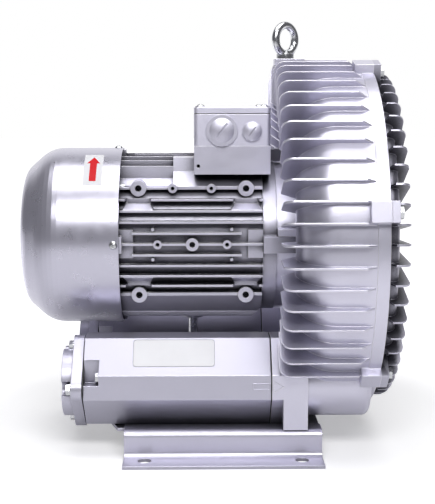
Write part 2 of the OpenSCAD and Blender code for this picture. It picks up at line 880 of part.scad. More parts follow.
module shaft_seal() {
    color(dark) difference() {
        disc(seal_x, seal_w, seal_r - press_gap);
        disc(seal_x - 1, seal_w + 2, shaft_seal_r + fit_gap);
    }
}

// Motor frame

mid_boss_y = 105.4;
corner_tip = boss_y - 2;
corner_root = 4 * fin_pitch;
notch_half = 20.5;
end_pad_z = 17;
end_pad_y = 97;
mid_boss = [[-41.3, 5.3], [0, 7.7], [41.5, 5.3]];
small_boss = [-23.7, 23];
boss_z = 5 * fin_pitch;
shelf_x = box_x - 25.6;
tab_len = 14;

function fin_reach(k) = sqrt(pow(fin_tip_r, 2) - pow(k * fin_pitch, 2));

// The fins of the right side, drawn with X as distance from the axis
module fin_row() {
    for (k = [-4 : 4]) if (abs(k) != 1) translate([0, k * fin_pitch - fin_t / 2])
        square([fin_reach(k), fin_t]);
}

// The outermost side fin, thicker at its root, where it meets the last fin of the top
module corner_fin() {
    z = boss_z - fin_t / 2;
    polygon([[40, z], [corner_tip, z], [corner_tip, z + fin_t], [corner_root, z + fin_t + 2],
        [40, z + fin_t + 2]]);
}

// The flat slanted pad between the side fins and the bottom fins
module corner_pad() {
    z = boss_z - fin_t;
    polygon([
        [40, z], [corner_tip, z], [corner_tip, boss_z + 1],
        [corner_root + 1, boss_z + corner_tip - corner_root],
        [corner_root - 3, boss_z + corner_tip - corner_root], [40, boss_z + 2]
    ]);
}

module frame_section() {
    circle(frame_r);
    for (a = [0 : 90 : 270]) rotate(a) fin_row();
    for (m = flips) mirror([m, 0]) {
        corner_fin();
        mirror([0, 1]) corner_pad();
    }
}

// The fins beside the middle one are shorter at both ends
module short_fins() {
    for (a = [0 : 90 : 270], n = sides) rotate(a) translate([0, n * fin_pitch - fin_t / 2])
        square([fin_reach(1), fin_t]);
}

module side_boss(x, z, r, face) {
    rod_y(x, 40, z, face - 40, r);
}

module frame_bosses() {
    for (x = [boss_x, boss_x + boss_span], n = sides) side_boss(x, n * boss_z, boss_r, boss_y);
    for (b = mid_boss) side_boss(post_x + b[0], 0, b[1], mid_boss_y);
    for (x = small_boss) side_boss(post_x + x, boss_z, 5.5, boss_y);
    for (x = [-47, 47], n = sides) side_boss(post_x + x, n * (fin_pitch + 5), 1.9, mid_boss_y - 1);
}

module frame_boss_holes() {
    for (x = [boss_x, boss_x + boss_span], n = sides) rod_y(x, boss_y - 12, n * boss_z, 20, boss_hole_r);
    for (b = mid_boss) rod_y(post_x + b[0], mid_boss_y - 9, 0, 20, b[1] * 0.46);
    for (x = small_boss) rod_y(post_x + x, boss_y - 10, boss_z, 20, 2.3);
}

// The notch in the last fins beside a large boss, with slanted ends
module boss_notch(x) {
    z = 3.5 * fin_pitch;
    translate([x, 0, z]) linear_extrude(boss_z - boss_r - z - 0.4)
        polygon([[-notch_half, 120], [-notch_half + 7, corner_tip], [notch_half - 7, corner_tip],
            [notch_half, 120]]);
}

// The slanted block that fills the notch down to the next fin
module boss_ramp(x) {
    z = 3 * fin_pitch;
    intersection() {
        translate([x - notch_half, 0, 0]) rotate([90, 0, 90]) linear_extrude(2 * notch_half)
            polygon([[60, z], [fin_reach(3) - 0.6, z], [fin_reach(3) - 0.6, z + 2],
                [fin_reach(3) - 12, z + 8], [60, z + 8]]);
        translate([x, 120, 0]) rotate([90, 0, 0]) linear_extrude(80)
            polygon([[-19, z], [19, z], [14.5, z + 8], [-14.5, z + 8]]);
    }
}

// The flat pads at both ends of the frame, behind the lugs
module end_pads() {
    for (x = [[frame_start, 27], [frame_end - 18, 18]]) translate([x[0], 40, -end_pad_z])
        cube([x[1], end_pad_y - 40, 2 * end_pad_z]);
}

module each_side() {
    translate([0, 0, axis_h]) for (m = flips) mirror([0, m, 0]) children();
}

function box_screws() = [for (x = [14, box_w - 14], y = [14, box_d - 14]) [box_x + x, y - box_front]];

// The block on top of the frame that the terminal box stands on, with a sloping foot on the near side
module pedestal() {
    foot = boss_z + fin_t / 2;
    top = axis_h + 101;
    along_x(shelf_x, frame_end - shelf_x)
        polygon([[-corner_tip, foot - 2], [-corner_tip, foot + 1], [-corner_root - 2, pedestal_z + 2],
            [-corner_root, 101],
            [box_d - box_front, 101], [box_d - box_front, foot]]);
    difference() {
        translate([box_x, -box_front, axis_h + pedestal_z]) cube([box_w, box_d, box_seat - pedestal_z]);
        disc(frame_end, 60, shield_r + 1);
    }
}

module motor_frame() {
    color(silver) difference() {
        union() {
            difference() {
                union() {
                    along_x(frame_start, frame_len) frame_section();
                    along_x(frame_start + fin_short, frame_len - 2 * fin_short) short_fins();
                }
                each_side() for (x = [boss_x, boss_x + boss_span], n = flips) mirror([0, 0, n])
                    boss_notch(x);
                translate([shelf_x, -box_front - 1, axis_h + pedestal_z]) cube([200, box_front - 30, 60]);
            }
            each_side() {
                frame_bosses();
                end_pads();
                for (x = [boss_x, boss_x + boss_span], n = flips) mirror([0, 0, n]) boss_ramp(x);
            }
            pedestal();
            round_axis(4) translate([frame_start, -10, 0.8 - cowl_in_r])
                cube([tab_len, 20, cowl_in_r - stator_r - 2]);
            translate([post_x, 0, post_top() - 8]) cylinder(h = 20, r = 14);
        }
        disc(frame_start - 1, frame_len + 2, stator_r);
        translate([frame_end, 0, axis_h - pedestal_z]) rotate([90, 0, 0]) linear_extrude(300, center = true)
            polygon([[0, 0], [-15, -30], [1, -30], [1, 0]]);
        each_side() frame_boss_holes();
        translate([box_x + 22, -box_front + 22, axis_h + box_seat - 14]) cube([box_w - 44, box_d - 44, 20]);
        translate([box_x + box_w / 2 - 14, -box_front + box_d / 2 - 14, axis_h + 60]) cube([28, 28, 80]);
        translate([post_x, 0, post_top() - 30]) cylinder(h = 30.1, r = post_r + screw_gap);
        for (a = corners) at_angle(a) rod_x(frame_start - 1, 0, -shield_screw_r, 22, 3 + screw_gap);
        rod_y(box_x + 5.2, -box_front - 1, axis_h + pedestal_z + 10, 12, 2.2);
        for (p = box_screws()) translate([p[0], p[1], axis_h + box_seat - 16])
            cylinder(h = 17, r = small_screw_r + screw_gap);
        round_axis(4) translate([frame_start + 4.5, 0, -cowl_in_r - 1])
            cylinder(h = 15, r = small_screw_r + screw_gap);
    }
}

// A ring of sheets with open slots for the winding
module stator_core() {
    color("#55565c") difference() {
        disc(core_x, core_len, stator_r - press_gap);
        disc(core_x - 1, core_len + 2, rotor_r + air_gap);
        round_axis(24) translate([core_x - 1, -1.8, -rotor_r - 18]) cube([core_len + 2, 3.6, 20]);
    }
}

// The end turns of the copper winding
module stator_windings() {
    wide = stator_r - rotor_r - 11;
    color("#a8612f") for (x = [core_x - 20, core_x + core_len]) about_axis()
        translate([rotor_r + 4 + wide / 2, x + 10]) round_rect(wide, 20, 5, $fn = 24);
}

shield_screw_r = frame_r + 2.2;

module fan_end_shield() {
    x = frame_start - fan_shield_t;
    color(silver) difference() {
        union() {
            disc(x, fan_shield_t, frame_r + 1);
            disc(frame_start - 0.1, 5, stator_r - fit_gap);
            disc(x - 8, 30, brg_rear_r + 8);
            for (a = corners) at_angle(a) rod_x(x, 0, -shield_screw_r, fan_shield_t, 7);
            for (a = [0 : 45 : 315]) at_angle(a) translate([x - 8, -2, -shield_r + 8]) cube([10, 4, 60]);
        }
        disc(brg_rear_x - 2, 60, brg_rear_r + fit_gap);
        disc(x - 10, 30, shaft_rear_r + 3);
        about_axis() translate([brg_rear_r + 8, frame_start - 6]) square([stator_r - brg_rear_r - 14, 30]);
        for (a = corners) at_angle(a) rod_x(x - 1, 0, -shield_screw_r, 22, 3 + screw_gap);
    }
}

module shield_screws() {
    color(steel) for (a = corners) at_angle(a) translate([frame_start - fan_shield_t, 0, -shield_screw_r])
        rotate([0, -90, 0]) hex_screw(3, fan_shield_t + 16, false);
}

// The thin spring washer that presses on the fan end bearing
module preload_washer() {
    color(steel) difference() {
        disc(brg_rear_x - 2, 2, brg_rear_r - 0.5);
        disc(brg_rear_x - 3, 4, brg_rear_r - 5);
    }
}

// Fan cowl

// Outline of the cowl's outside, or of its inside for a positive wall, from the axis to the open edge
function cowl_line(wall) =
    let (
        x0 = cowl_x - cowl_len + wall,
        p = [cowl_end_r - 0.4 * wall, x0],
        q = [cowl_r - wall, x0 - 0.4 * wall + cowl_slope]
    )
    concat([[0, x0]], bend([0, x0], p, q, 10), bend(p, q, [q[0], cowl_x], 16),
        [[q[0], cowl_x + (wall > 0 ? 1 : 0)]]);

module cowl_body(wall) {
    line = cowl_line(wall);
    about_axis() polygon(concat(line, [[0, line[len(line) - 1][1]]]));
}

// Rings of slots in the flat end, with spokes left between them
module cowl_grille() {
    difference() {
        for (k = [0 : 4]) about_axis() translate([14 + 12 * k, cowl_x - cowl_len - 1])
            square([7, cowl_t + 2]);
        for (a = [0 : 60 : 120]) at_angle(a) translate([cowl_x - cowl_len - 2, -4, -80]) cube([10, 8, 160]);
    }
}

module fan_cowl() {
    color(silver) difference() {
        cowl_body(0);
        cowl_body(cowl_t);
        cowl_grille();
        round_axis(4) translate([frame_start + 4.5, 0, -cowl_r - 1])
            cylinder(h = 4, r = small_screw_r + screw_gap);
    }
}

module cowl_screws() {
    color(steel) round_axis(4) translate([frame_start + 4.5, 0, -cowl_r - 0.1]) rotate([180, 0, 0])
        pan_screw(small_screw_r, 12);
}

// Terminal box

box_mid = [box_x + box_w / 2, box_d / 2 - box_front];
lid_gasket_t = 1;
plug_places = [[-12.7, 18.6, plug_large_r, 19], [23.8, 17.7, plug_small_r, 12]];

module box_outline(inset) {
    translate(box_mid) round_rect(box_w - 2 * inset, box_d - 2 * inset, 5);
}

function lid_screw_places() = [for (x = sides, y = sides)
    box_mid + [x * (box_w / 2 - 8), y * (box_d / 2 - 8)]];

module plug_hole(p) {
    rod_y(box_mid[0] + p[0], -box_front - 1, axis_h + box_seat + p[1], box_wall + 2, p[2] + screw_gap);
}

module terminal_box() {
    color(silver) translate([0, 0, 0]) difference() {
        translate([0, 0, axis_h + box_seat]) difference() {
            linear_extrude(box_h) box_outline(0);
            difference() {
                translate([0, 0, box_wall]) linear_extrude(box_h) box_outline(box_wall);
                for (p = lid_screw_places()) translate([p[0], p[1], 0]) cylinder(h = box_h, r = 6);
            }
            for (p = lid_screw_places()) translate([p[0], p[1], box_h - 14])
                cylinder(h = 15, r = small_screw_r + screw_gap);
            translate([box_mid[0] - 14, box_mid[1] - 14, -1]) cube([28, 28, box_wall + 2]);
            for (p = box_screws()) translate([p[0], p[1], -1])
                cylinder(h = box_wall + 2, r = small_screw_r + screw_gap);
        }
        for (p = plug_places) plug_hole(p);
    }
}

module terminal_gasket() {
    color(dark) translate([0, 0, axis_h + box_seat + box_h]) linear_extrude(lid_gasket_t) difference() {
        box_outline(0.6);
        box_outline(box_wall);
    }
}

module terminal_lid() {
    color(silver) translate([0, 0, axis_h + box_seat + box_h + lid_gasket_t]) difference() {
        union() {
            linear_extrude(lid_h - 1.5) box_outline(0);
            linear_extrude(lid_h) box_outline(1.5);
        }
        difference() {
            translate([0, 0, -1]) linear_extrude(lid_h - 2) box_outline(box_wall);
            for (p = lid_screw_places()) translate([p[0], p[1], -2]) cylinder(h = lid_h, r = 6);
        }
        for (p = lid_screw_places()) translate([p[0], p[1], -1])
            cylinder(h = lid_h + 2, r = small_screw_r + screw_gap);
    }
}

module lid_screws() {
    color(steel) for (p = lid_screw_places())
        translate([p[0], p[1], axis_h + box_seat + box_h + lid_gasket_t + lid_h])
            pan_screw(small_screw_r, lid_h + 12);
}

stud_places = [for (x = [-18, 0, 18], y = [-8, 8]) [x, y]];
board_z = axis_h + box_seat + box_wall;

// The insulating board that carries the winding ends, in front of the cable opening
module terminal_board() {
    color("#5b3a22") translate([box_mid[0], box_mid[1] - 33, board_z]) difference() {
        translate([-28, -17, 0]) cube([56, 34, 9]);
        for (p = stud_places) translate([p[0], p[1], 1]) cylinder(h = 10, r = 2.5 + screw_gap);
    }
}

module terminal_studs() {
    color("#c9a24a") translate([box_mid[0], box_mid[1] - 33, board_z]) for (p = stud_places)
        translate([p[0], p[1], 1.2]) {
        cylinder(h = 24, r = 2.5);
        translate([0, 0, 7.8]) cylinder(h = 4, r = 4.6, $fn = 6);
    }
}

// A domed plug with a slot mark across its face
module cable_plug(p) {
    head = p[3];
    slot = head / 8;
    color(silver) translate([box_mid[0] + p[0], -box_front, axis_h + box_seat + p[1]]) rotate([90, 0, 0])
        difference() {
        union() {
            cylinder(h = 3, r = head);
            intersection() {
                cylinder(h = 7, r = head - 1);
                translate([0, 0, 6 - 2 * head]) sphere(2 * head);
            }
            translate([0, 0, -box_wall - 0.5]) cylinder(h = box_wall + 1.5, r = p[2]);
        }
        translate([0, 0, -box_wall - 1]) cylinder(h = box_wall, r = p[2] - 3);
        rotate([0, 0, 52]) translate([-0.55 * head, -slot / 2, 4]) cube([1.1 * head, slot, 10]);
    }
}

module cable_plug_large() {
    cable_plug(plug_places[0]);
}

module cable_plug_small() {
    cable_plug(plug_places[1]);
}

// Bearings

shaft_mid_r = 24;
balls = 9;
ball_gap = 0.3;

// The outline of one bearing ring between two radii, with the groove for the balls
module ring_section(x, wide, r0, r1, mid, ball) {
    difference() {
        translate([r0, x]) square([r1 - r0, wide]);
        translate([mid, x + wide / 2]) circle(ball + ball_gap);
    }
}

// Radius of the circle of ball centres, and radius of a ball
function ball_mid(r_in, r_out) = (r_in + r_out) / 2;
function ball_size(r_in, r_out) = 0.31 * (r_out - r_in);

module outer_ring(x, wide, r_in, r_out) {
    mid = ball_mid(r_in, r_out);
    ball = ball_size(r_in, r_out);
    color(steel) about_axis() ring_section(x, wide, mid + 0.7 * ball, r_out, mid, ball);
}

module inner_ring(x, wide, r_in, r_out) {
    mid = ball_mid(r_in, r_out);
    ball = ball_size(r_in, r_out);
    color(steel) about_axis() ring_section(x, wide, r_in + press_gap, mid - 0.7 * ball, mid, ball);
}

module ball_ring(x, wide, r_in, r_out) {
    color(steel) round_axis(balls) translate([x + wide / 2, 0, -ball_mid(r_in, r_out)])
        sphere(ball_size(r_in, r_out));
}

module ball_cage(x, wide, r_in, r_out) {
    mid = ball_mid(r_in, r_out);
    ball = ball_size(r_in, r_out);
    color("#b58b3a") difference() {
        about_axis() translate([mid - 1.5, x + wide / 2 - 0.9 * ball]) square([3, 1.8 * ball]);
        round_axis(balls) translate([x + wide / 2, 0, -mid]) sphere(ball + 0.1);
    }
}

module front_outer_ring() {
    outer_ring(brg_front_x, brg_front_w, shaft_front_r, brg_front_r);
}

module front_inner_ring() {
    inner_ring(brg_front_x, brg_front_w, shaft_front_r, brg_front_r);
}

module front_balls() {
    ball_ring(brg_front_x, brg_front_w, shaft_front_r, brg_front_r);
}

module front_cage() {
    ball_cage(brg_front_x, brg_front_w, shaft_front_r, brg_front_r);
}

module rear_outer_ring() {
    outer_ring(brg_rear_x, brg_rear_w, shaft_rear_r, brg_rear_r);
}

module rear_inner_ring() {
    inner_ring(brg_rear_x, brg_rear_w, shaft_rear_r, brg_rear_r);
}

module rear_balls() {
    ball_ring(brg_rear_x, brg_rear_w, shaft_rear_r, brg_rear_r);
}

module rear_cage() {
    ball_cage(brg_rear_x, brg_rear_w, shaft_rear_r, brg_rear_r);
}

// Rotor

imp_x = chamber_x + side_gap;
shaft_end = imp_x + impeller_w + 4;
fan_x = brg_rear_x - 24;
fan_shaft_r = shaft_rear_r - 1;
shaft_start = fan_x - fan_blade_w - 12;
key_w = 10;
key_h = 8;
key_len = 30;

module key_slot(grow) {
    translate([imp_x + 3 - grow, -key_w / 2 - grow, axis_h + shaft_imp_r - 5 - grow])
        cube([key_len + 2 * grow, key_w + 2 * grow, key_h + 2 * grow]);
}

// The stepped shaft carries the fan, both bearings, the rotor core and the impeller
module rotor_shaft() {
    color(steel) difference() {
        union() {
            disc(shaft_start, brg_rear_x - shaft_start + 0.1, fan_shaft_r);
            disc(brg_rear_x, brg_rear_w + 0.1, shaft_rear_r);
            disc(brg_rear_x + brg_rear_w, 4, shaft_rear_r + 4);
            disc(brg_rear_x + brg_rear_w + 3, brg_front_x - brg_rear_x - brg_rear_w - 3, shaft_mid_r);
            disc(brg_front_x - 0.1, brg_front_w + 0.2, shaft_front_r);
            disc(brg_front_x + brg_front_w, imp_x - brg_front_x - brg_front_w, shaft_seal_r);
            disc(imp_x - 0.1, shaft_end - imp_x + 0.1, shaft_imp_r);
        }
        key_slot(press_gap);
        disc(shaft_end - 40, 41, 6 + screw_gap);
        about_axis() translate([fan_shaft_r - 1, fan_clip_x]) square([5, 1.4]);
    }
}

fan_clip_x = fan_x - fan_blade_w + 4;

// The laminated core with its end rings
module rotor_core() {
    color("#6a6b70") difference() {
        union() {
            disc(core_x, core_len, rotor_r);
            for (x = [core_x - 9, core_x + core_len]) disc(x, 9, rotor_r - 2);
            for (x = [core_x - 12.5, core_x + core_len + 8]) round_axis(12)
                translate([x, -1.5, 8 - rotor_r]) cube([4.5, 3, 12]);
        }
        disc(core_x - 20, core_len + 40, shaft_mid_r + press_gap);
        for (x = [core_x - 30, core_x + core_len + 5]) disc(x, 25, rotor_r - 22);
    }
}

// Outline of the impeller in radius and X, with a row of pockets on both faces
module impeller_section() {
    hub_r = 35;
    deep = (impeller_w - 4) / 2;
    half = channel_r - 2;
    pocket_r = (half * half + deep * deep) / (2 * deep);
    difference() {
        union() {
            square([hub_r, impeller_w - 0.4]);
            square([hub_r - 7, impeller_w + 5.6]);
            translate([0, impeller_w / 2 - 6]) square([channel_mid_r, 12]);
            translate([rim_in_r - 5, 0]) square([impeller_r - rim_in_r + 5, impeller_w]);
        }
        for (x = [deep - pocket_r, impeller_w - deep + pocket_r]) translate([channel_mid_r, x])
            circle(pocket_r);
    }
}

module impeller() {
    color("#a9aab2") difference() {
        union() {
            about_axis() translate([0, imp_x]) impeller_section();
            round_axis(impeller_blades) translate([imp_x, -blade_t / 2, -impeller_r + 0.8])
                cube([impeller_w, blade_t, impeller_r - rim_in_r + 2]);
        }
        disc(imp_x - 1, 60, shaft_imp_r + press_gap);
        translate([imp_x - 1, -key_w / 2 - press_gap, axis_h])
            cube([60, key_w + 2 * press_gap, shaft_imp_r + key_h - 5 + 0.3]);
    }
}

module impeller_key() {
    color(steel) key_slot(0);
}

module impeller_washer() {
    color(steel) difference() {
        disc(imp_x + impeller_w + 5.6, 4, 22);
        disc(imp_x, 100, 6 + screw_gap);
    }
}

module impeller_bolt() {
    color(steel) translate([imp_x + impeller_w + 9.6, 0, axis_h]) rotate([0, 90, 0])
        hex_screw(6, 34, false);
}

module cooling_fan() {
    color("#2f3034") difference() {
        union() {
            disc(fan_x - 3, 3, fan_r - 6);
            disc(fan_clip_x + 1.4, fan_x - fan_clip_x - 1.4, fan_shaft_r + 9);
            round_axis(fan_blades) translate([fan_x - fan_blade_w, -1.3, -fan_r])
                cube([fan_blade_w - 1, 2.6, fan_r - 40]);
        }
        disc(shaft_start - 1, 100, fan_shaft_r + press_gap);
    }
}

module fan_circlip() {
    color(steel) difference() {
        disc(fan_clip_x + 0.1, 1.2, fan_shaft_r + 2.5);
        disc(fan_clip_x - 1, 4, fan_shaft_r - 1 + press_gap);
        translate([fan_clip_x - 1, -4, axis_h]) cube([4, 8, 40]);
    }
}

base_frame();
leg_bolts();
support_post();
post_nuts();
blower_housing();
blower_cover();
cover_seal();
cover_bolts();
eye_bolt();
front_silencer();
rear_silencer();
silencer_gaskets();
silencer_tie_bolts();
front_core_tube();
rear_core_tube();
front_absorber();
rear_absorber();
front_port_flange();
rear_port_flange();
port_gaskets();
port_bolts();
drive_end_shield();
shield_bolts();
front_bearing_cap();
cap_screws();
shaft_seal();
motor_frame();
stator_core();
stator_windings();
fan_end_shield();
shield_screws();
preload_washer();
fan_cowl();
cowl_screws();
terminal_box();
terminal_gasket();
terminal_lid();
lid_screws();
terminal_board();
terminal_studs();
cable_plug_large();
cable_plug_small();
front_outer_ring();
rear_outer_ring();
rotor_shaft();
rotor_core();
front_inner_ring();
rear_inner_ring();
impeller();
impeller_key();
impeller_washer();
impeller_bolt();
cooling_fan();
fan_circlip();
front_cage();
front_balls();
rear_cage();
rear_balls();
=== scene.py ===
import json
import math

import bmesh
import bpy
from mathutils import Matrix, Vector


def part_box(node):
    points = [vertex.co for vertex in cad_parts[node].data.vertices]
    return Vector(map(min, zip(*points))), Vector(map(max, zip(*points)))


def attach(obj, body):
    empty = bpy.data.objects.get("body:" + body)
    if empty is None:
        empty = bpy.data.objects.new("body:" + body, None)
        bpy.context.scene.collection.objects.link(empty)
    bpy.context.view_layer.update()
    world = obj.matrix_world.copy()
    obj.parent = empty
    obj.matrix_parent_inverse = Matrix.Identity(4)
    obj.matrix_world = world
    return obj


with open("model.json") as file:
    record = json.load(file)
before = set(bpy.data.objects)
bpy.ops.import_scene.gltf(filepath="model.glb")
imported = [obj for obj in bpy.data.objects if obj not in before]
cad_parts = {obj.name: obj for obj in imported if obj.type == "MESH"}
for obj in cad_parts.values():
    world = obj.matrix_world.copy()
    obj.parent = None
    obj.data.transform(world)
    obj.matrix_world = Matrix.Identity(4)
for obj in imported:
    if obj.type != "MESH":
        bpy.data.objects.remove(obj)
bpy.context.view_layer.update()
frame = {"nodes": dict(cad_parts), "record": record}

NODES = frame["nodes"]


# Camera

CAMERA_PLACE = (-0.0273, -1.3793, 0.4152)
CAMERA_TILT = 82.23
CAMERA_TURN = -0.96
CAMERA_LENS = 77.14


def make_camera():
    """The photograph's view, worked out from circles and parallel edges that it shows."""
    bpy.context.scene.view_settings.view_transform = "Standard"
    data = bpy.data.cameras.new("camera")
    data.lens = CAMERA_LENS
    data.sensor_width = 36.0
    data.clip_start = 0.05
    data.clip_end = 60.0
    cam = bpy.data.objects.new("camera", data)
    cam.location = CAMERA_PLACE
    cam.rotation_euler = (math.radians(CAMERA_TILT), 0.0, math.radians(CAMERA_TURN))
    bpy.context.collection.objects.link(cam)
    bpy.context.scene.camera = cam


# Node tree helpers

RAY_SAMPLES = 6


def scaled(color, factor):
    """The colour times a factor, with each channel kept at 1 or below."""
    return tuple(min(1.0, c * factor) for c in color)


class Tree:
    """Adds nodes to a material or a world and joins them."""

    def __init__(self, owner, output="ShaderNodeOutputMaterial"):
        owner.use_nodes = True
        self.owner = owner
        self.tree = owner.node_tree
        self.tree.nodes.clear()
        self.output = self.add(output)

    def add(self, kind, **values):
        """Adds a node; a value goes to its setting of that name, or else to its socket."""
        node = self.tree.nodes.new(kind)
        for key, value in values.items():
            if hasattr(node, key):
                setattr(node, key, value)
            else:
                node.inputs[key.replace("_", " ")].default_value = value
        return node

    def link(self, source, target):
        self.tree.links.new(source, target)

    def place(self):
        return self.add("ShaderNodeTexCoord").outputs["Object"]

    def noise(self, scale, detail=3.0, rough=0.5, where=None):
        node = self.add("ShaderNodeTexNoise", Scale=scale, Detail=detail, Roughness=rough)
        self.link(where or self.place(), node.inputs["Vector"])
        return node.outputs["Fac"]

    def spread(self, source, low, high, to_low=0.0, to_high=1.0):
        """Maps low..high to to_low..to_high."""
        node = self.add("ShaderNodeMapRange", From_Min=low, From_Max=high, To_Min=to_low, To_Max=to_high)
        self.link(source, node.inputs["Value"])
        return node.outputs["Result"]

    def combine(self, operation, first, second):
        node = self.add("ShaderNodeMath", operation=operation)
        self.link(first, node.inputs[0])
        self.link(second, node.inputs[1])
        return node.outputs[0]

    def blend(self, factor, first, second, mode="MIX"):
        """Blends two colours, each a tuple or a socket."""
        node = self.add("ShaderNodeMix", data_type="RGBA", blend_type=mode)
        if isinstance(factor, float):
            node.inputs[0].default_value = factor
        else:
            self.link(factor, node.inputs[0])
        for socket, value in ((node.inputs[6], first), (node.inputs[7], second)):
            if isinstance(value, tuple):
                socket.default_value = (*value, 1.0)
            else:
                self.link(value, socket)
        return node.outputs[2]

    def bump(self, height, strength, distance, normal=None):
        node = self.add("ShaderNodeBump", Strength=strength, Distance=distance)
        self.link(height, node.inputs["Height"])
        if normal is not None:
            self.link(normal, node.inputs["Normal"])
        return node.outputs["Normal"]

    def edge_normal(self, radius):
        return self.add("ShaderNodeBevel", samples=RAY_SAMPLES, Radius=radius).outputs["Normal"]

    def edge_mask(self, normal):
        """1 on rounded edges, 0 on flat faces."""
        plain = self.add("ShaderNodeNewGeometry").outputs["Normal"]
        turn = self.add("ShaderNodeVectorMath", operation="DOT_PRODUCT")
        self.link(normal, turn.inputs[0])
        self.link(plain, turn.inputs[1])
        return self.spread(turn.outputs["Value"], 0.99, 0.85)

    def painted_shade_mask(self, reach, low, high):
        """For painted shade: 0 deep in a gap between fins, 1 on the open faces."""
        node = self.add("ShaderNodeAmbientOcclusion", samples=RAY_SAMPLES, Distance=reach)
        return self.spread(node.outputs["AO"], low, high)

    def along_y(self, coordinates):
        split = self.add("ShaderNodeSeparateXYZ")
        self.link(coordinates, split.inputs[0])
        return split.outputs[1]

    def sees_white(self, behind):
        """1 for a ray from the camera or through glass; for a reflection, what behind says."""
        path = self.add("ShaderNodeLightPath")
        glossy = self.combine("MULTIPLY", path.outputs["Is Glossy Ray"], behind)
        seen = self.combine("MAXIMUM", path.outputs["Is Camera Ray"], glossy)
        return self.combine("MAXIMUM", seen, path.outputs["Is Transmission Ray"])

    def show_either(self, factor, first, second):
        """Shows the first shader where the factor is 0 and the second where it is 1."""
        pick = self.add("ShaderNodeMixShader")
        self.link(factor, pick.inputs[0])
        self.link(first.outputs[0], pick.inputs[1])
        self.link(second.outputs[0], pick.inputs[2])
        self.link(pick.outputs[0], self.output.inputs["Surface"])

    def finish(self, color, roughness, normal, **settings):
        """Ends a material with its shader; color, roughness and normal are values or sockets."""
        shader = self.add("ShaderNodeBsdfPrincipled")
        for key, value in settings.items():
            shader.inputs[key.replace("_", " ")].default_value = value
        for name, value in (("Base Color", color), ("Roughness", roughness), ("Normal", normal)):
            if isinstance(value, tuple):
                shader.inputs[name].default_value = (*value, 1.0)
            elif isinstance(value, float):
                shader.inputs[name].default_value = value
            else:
                self.link(value, shader.inputs[name])
        self.link(shader.outputs["BSDF"], self.output.inputs["Surface"])
        return self.owner


def material_tree(name):
    return Tree(bpy.data.materials.new(name))


# Materials

GAP_REACH = 0.045


def silver_paint(name, color, roughness, grain, gaps=0.5, shut=(0.05, 0.5), edge=0.001):
    """Metallic silver paint: fine flakes, a slightly uneven coat, a painted highlight on rounded edges and
    painted shade deep between fins.

    gaps is how much of the colour the painted shade leaves deep between fins, shut is how closed in a
    place is where the painted shade is full and where it starts, and edge is the radius of the rounded
    edges and of their painted highlight.
    """
    t = material_tree(name)
    patches = t.spread(t.noise(9.0, 4.0), 0.35, 0.65)
    flakes = t.spread(t.noise(3800.0, 1.0), 0.42, 0.58)
    tone = t.blend(patches, scaled(color, 0.93), color)
    tone = t.blend(flakes, tone, scaled(color, 1.07))
    # Painted shade: the colour is darkened deep between fins and in closed-in places.
    unshaded_share = t.painted_shade_mask(GAP_REACH, *shut)
    shade = t.blend(1.0, tone, (gaps, gaps, gaps * 1.04), "MULTIPLY")
    tone = t.blend(unshaded_share, shade, tone)
    rounded = t.edge_normal(edge)
    # Painted highlight: rounded edges are painted 1.45 times as bright as the paint.
    tone = t.blend(t.edge_mask(rounded), tone, scaled(color, 1.45))
    rough = t.spread(t.noise(60.0, 5.0, 0.6), 0.3, 0.7, roughness - 0.03, roughness + 0.04)
    coat = t.bump(t.noise(420.0, 4.0, 0.6), grain, 0.00008, rounded)
    return t.finish(tone, rough, coat, Metallic=0.85)


def zinc_plate(name, color, roughness):
    """Zinc plating: faint cloudy spangle and small marks from the tumbling drum."""
    t = material_tree(name)
    cloud = t.spread(t.noise(55.0, 5.0, 0.65), 0.35, 0.65)
    tone = t.blend(cloud, scaled(color, 0.84), color)
    rough = t.spread(t.noise(240.0, 3.0), 0.3, 0.7, roughness - 0.06, roughness + 0.1)
    marks = t.bump(t.noise(700.0, 3.0), 0.25, 0.00006, t.edge_normal(0.0004))
    return t.finish(tone, rough, marks, Metallic=1.0)


def turned_steel(name, color):
    """Steel turned or ground round the motor axis, with fine rings."""
    t = material_tree(name)
    mapping = t.add("ShaderNodeMapping", Scale=(2600.0, 20.0, 20.0))
    t.link(t.place(), mapping.inputs["Vector"])
    rings = t.noise(1.0, 2.0, 0.5, mapping.outputs["Vector"])
    tone = t.blend(t.spread(rings, 0.3, 0.7), scaled(color, 0.86), color)
    rough = t.spread(rings, 0.3, 0.7, 0.2, 0.34)
    return t.finish(tone, rough, t.bump(rings, 0.2, 0.00004), Metallic=1.0)


def raw_casting(name, color):
    """Unpainted die-cast metal with faint stains."""
    t = material_tree(name)
    stain = t.spread(t.noise(22.0, 5.0, 0.6), 0.35, 0.65)
    tone = t.blend(stain, scaled(color, 0.8), color)
    rough = t.spread(t.noise(90.0), 0.3, 0.7, 0.42, 0.6)
    grain = t.bump(t.noise(900.0, 5.0, 0.7), 0.6, 0.0002, t.edge_normal(0.0006))
    return t.finish(tone, rough, grain, Metallic=0.8)


def rubber(name):
    """Black rubber with a little dust."""
    t = material_tree(name)
    dust = t.spread(t.noise(70.0, 5.0), 0.4, 0.75)
    tone = t.blend(dust, (0.018, 0.018, 0.019), (0.045, 0.045, 0.046))
    return t.finish(tone, 0.62, t.bump(t.noise(1600.0, 2.0), 0.3, 0.00008))


def moulded_plastic(name, color):
    """Moulded plastic with a fine grain."""
    t = material_tree(name)
    worn = tuple(c * 1.35 + 0.01 for c in color)
    tone = t.blend(t.spread(t.noise(30.0, 3.0), 0.4, 0.7), color, worn)
    return t.finish(tone, 0.45, t.bump(t.noise(1300.0, 2.0), 0.3, 0.00006))


def sign_film(name, color):
    """A printed film, faintly uneven in gloss."""
    t = material_tree(name)
    tone = t.blend(t.spread(t.noise(40.0, 3.0), 0.4, 0.7), color, scaled(color, 0.96))
    rough = t.spread(t.noise(90.0), 0.3, 0.7, 0.5, 0.6)
    return t.finish(tone, rough, t.bump(t.noise(900.0, 2.0), 0.1, 0.00004), Specular_IOR_Level=0.25)


